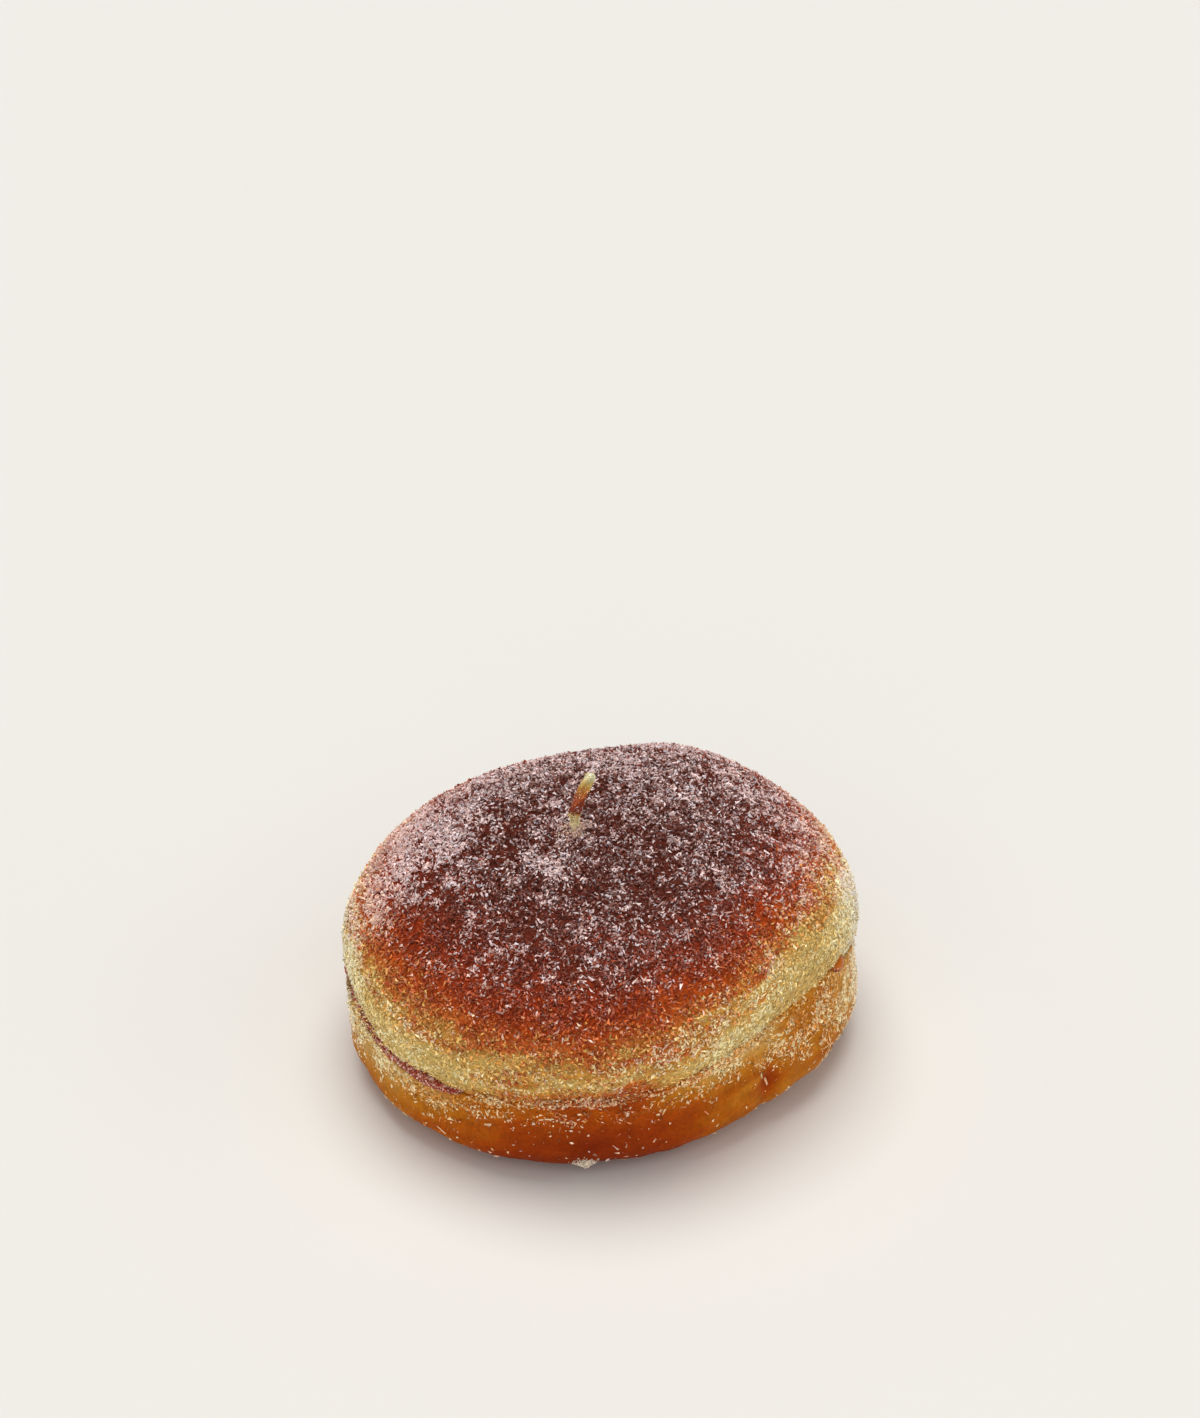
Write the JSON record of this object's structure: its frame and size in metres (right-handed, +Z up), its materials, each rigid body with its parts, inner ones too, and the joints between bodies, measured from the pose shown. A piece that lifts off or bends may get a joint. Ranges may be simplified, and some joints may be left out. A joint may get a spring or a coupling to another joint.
{
  "type": "jelly filled doughnut candle",
  "caption": "Round sugared jelly filled doughnut, browned top and base with jelly showing at the crease between them, and a short candle wick standing in the crown.",
  "frame": {"origin": "centre of the plan outline, on the surface that the doughnut stands on", "axes": "+Z up, -Y the front; the crease gapes and shows the jelly at the front left, towards -X"},
  "size_m": [0.0906, 0.086, 0.0594],
  "materials": {
    "base_crust": "golden fried crust, waxy, with sugar under the crease",
    "jelly": "dark red jelly, sugared where it shows",
    "top_crust": "dark brown crust fading to gold and to a pale band, sugared all over",
    "wick": "waxed cotton, orange brown with a pale tip and foot",
    "sugar": "coarse crystal sugar, half clear"
  },
  "bodies": {
    "root": {"bun_base": "base_crust", "jelly": "jelly", "bun_top": "top_crust", "wick": "wick"}
  },
  "joints": []
}
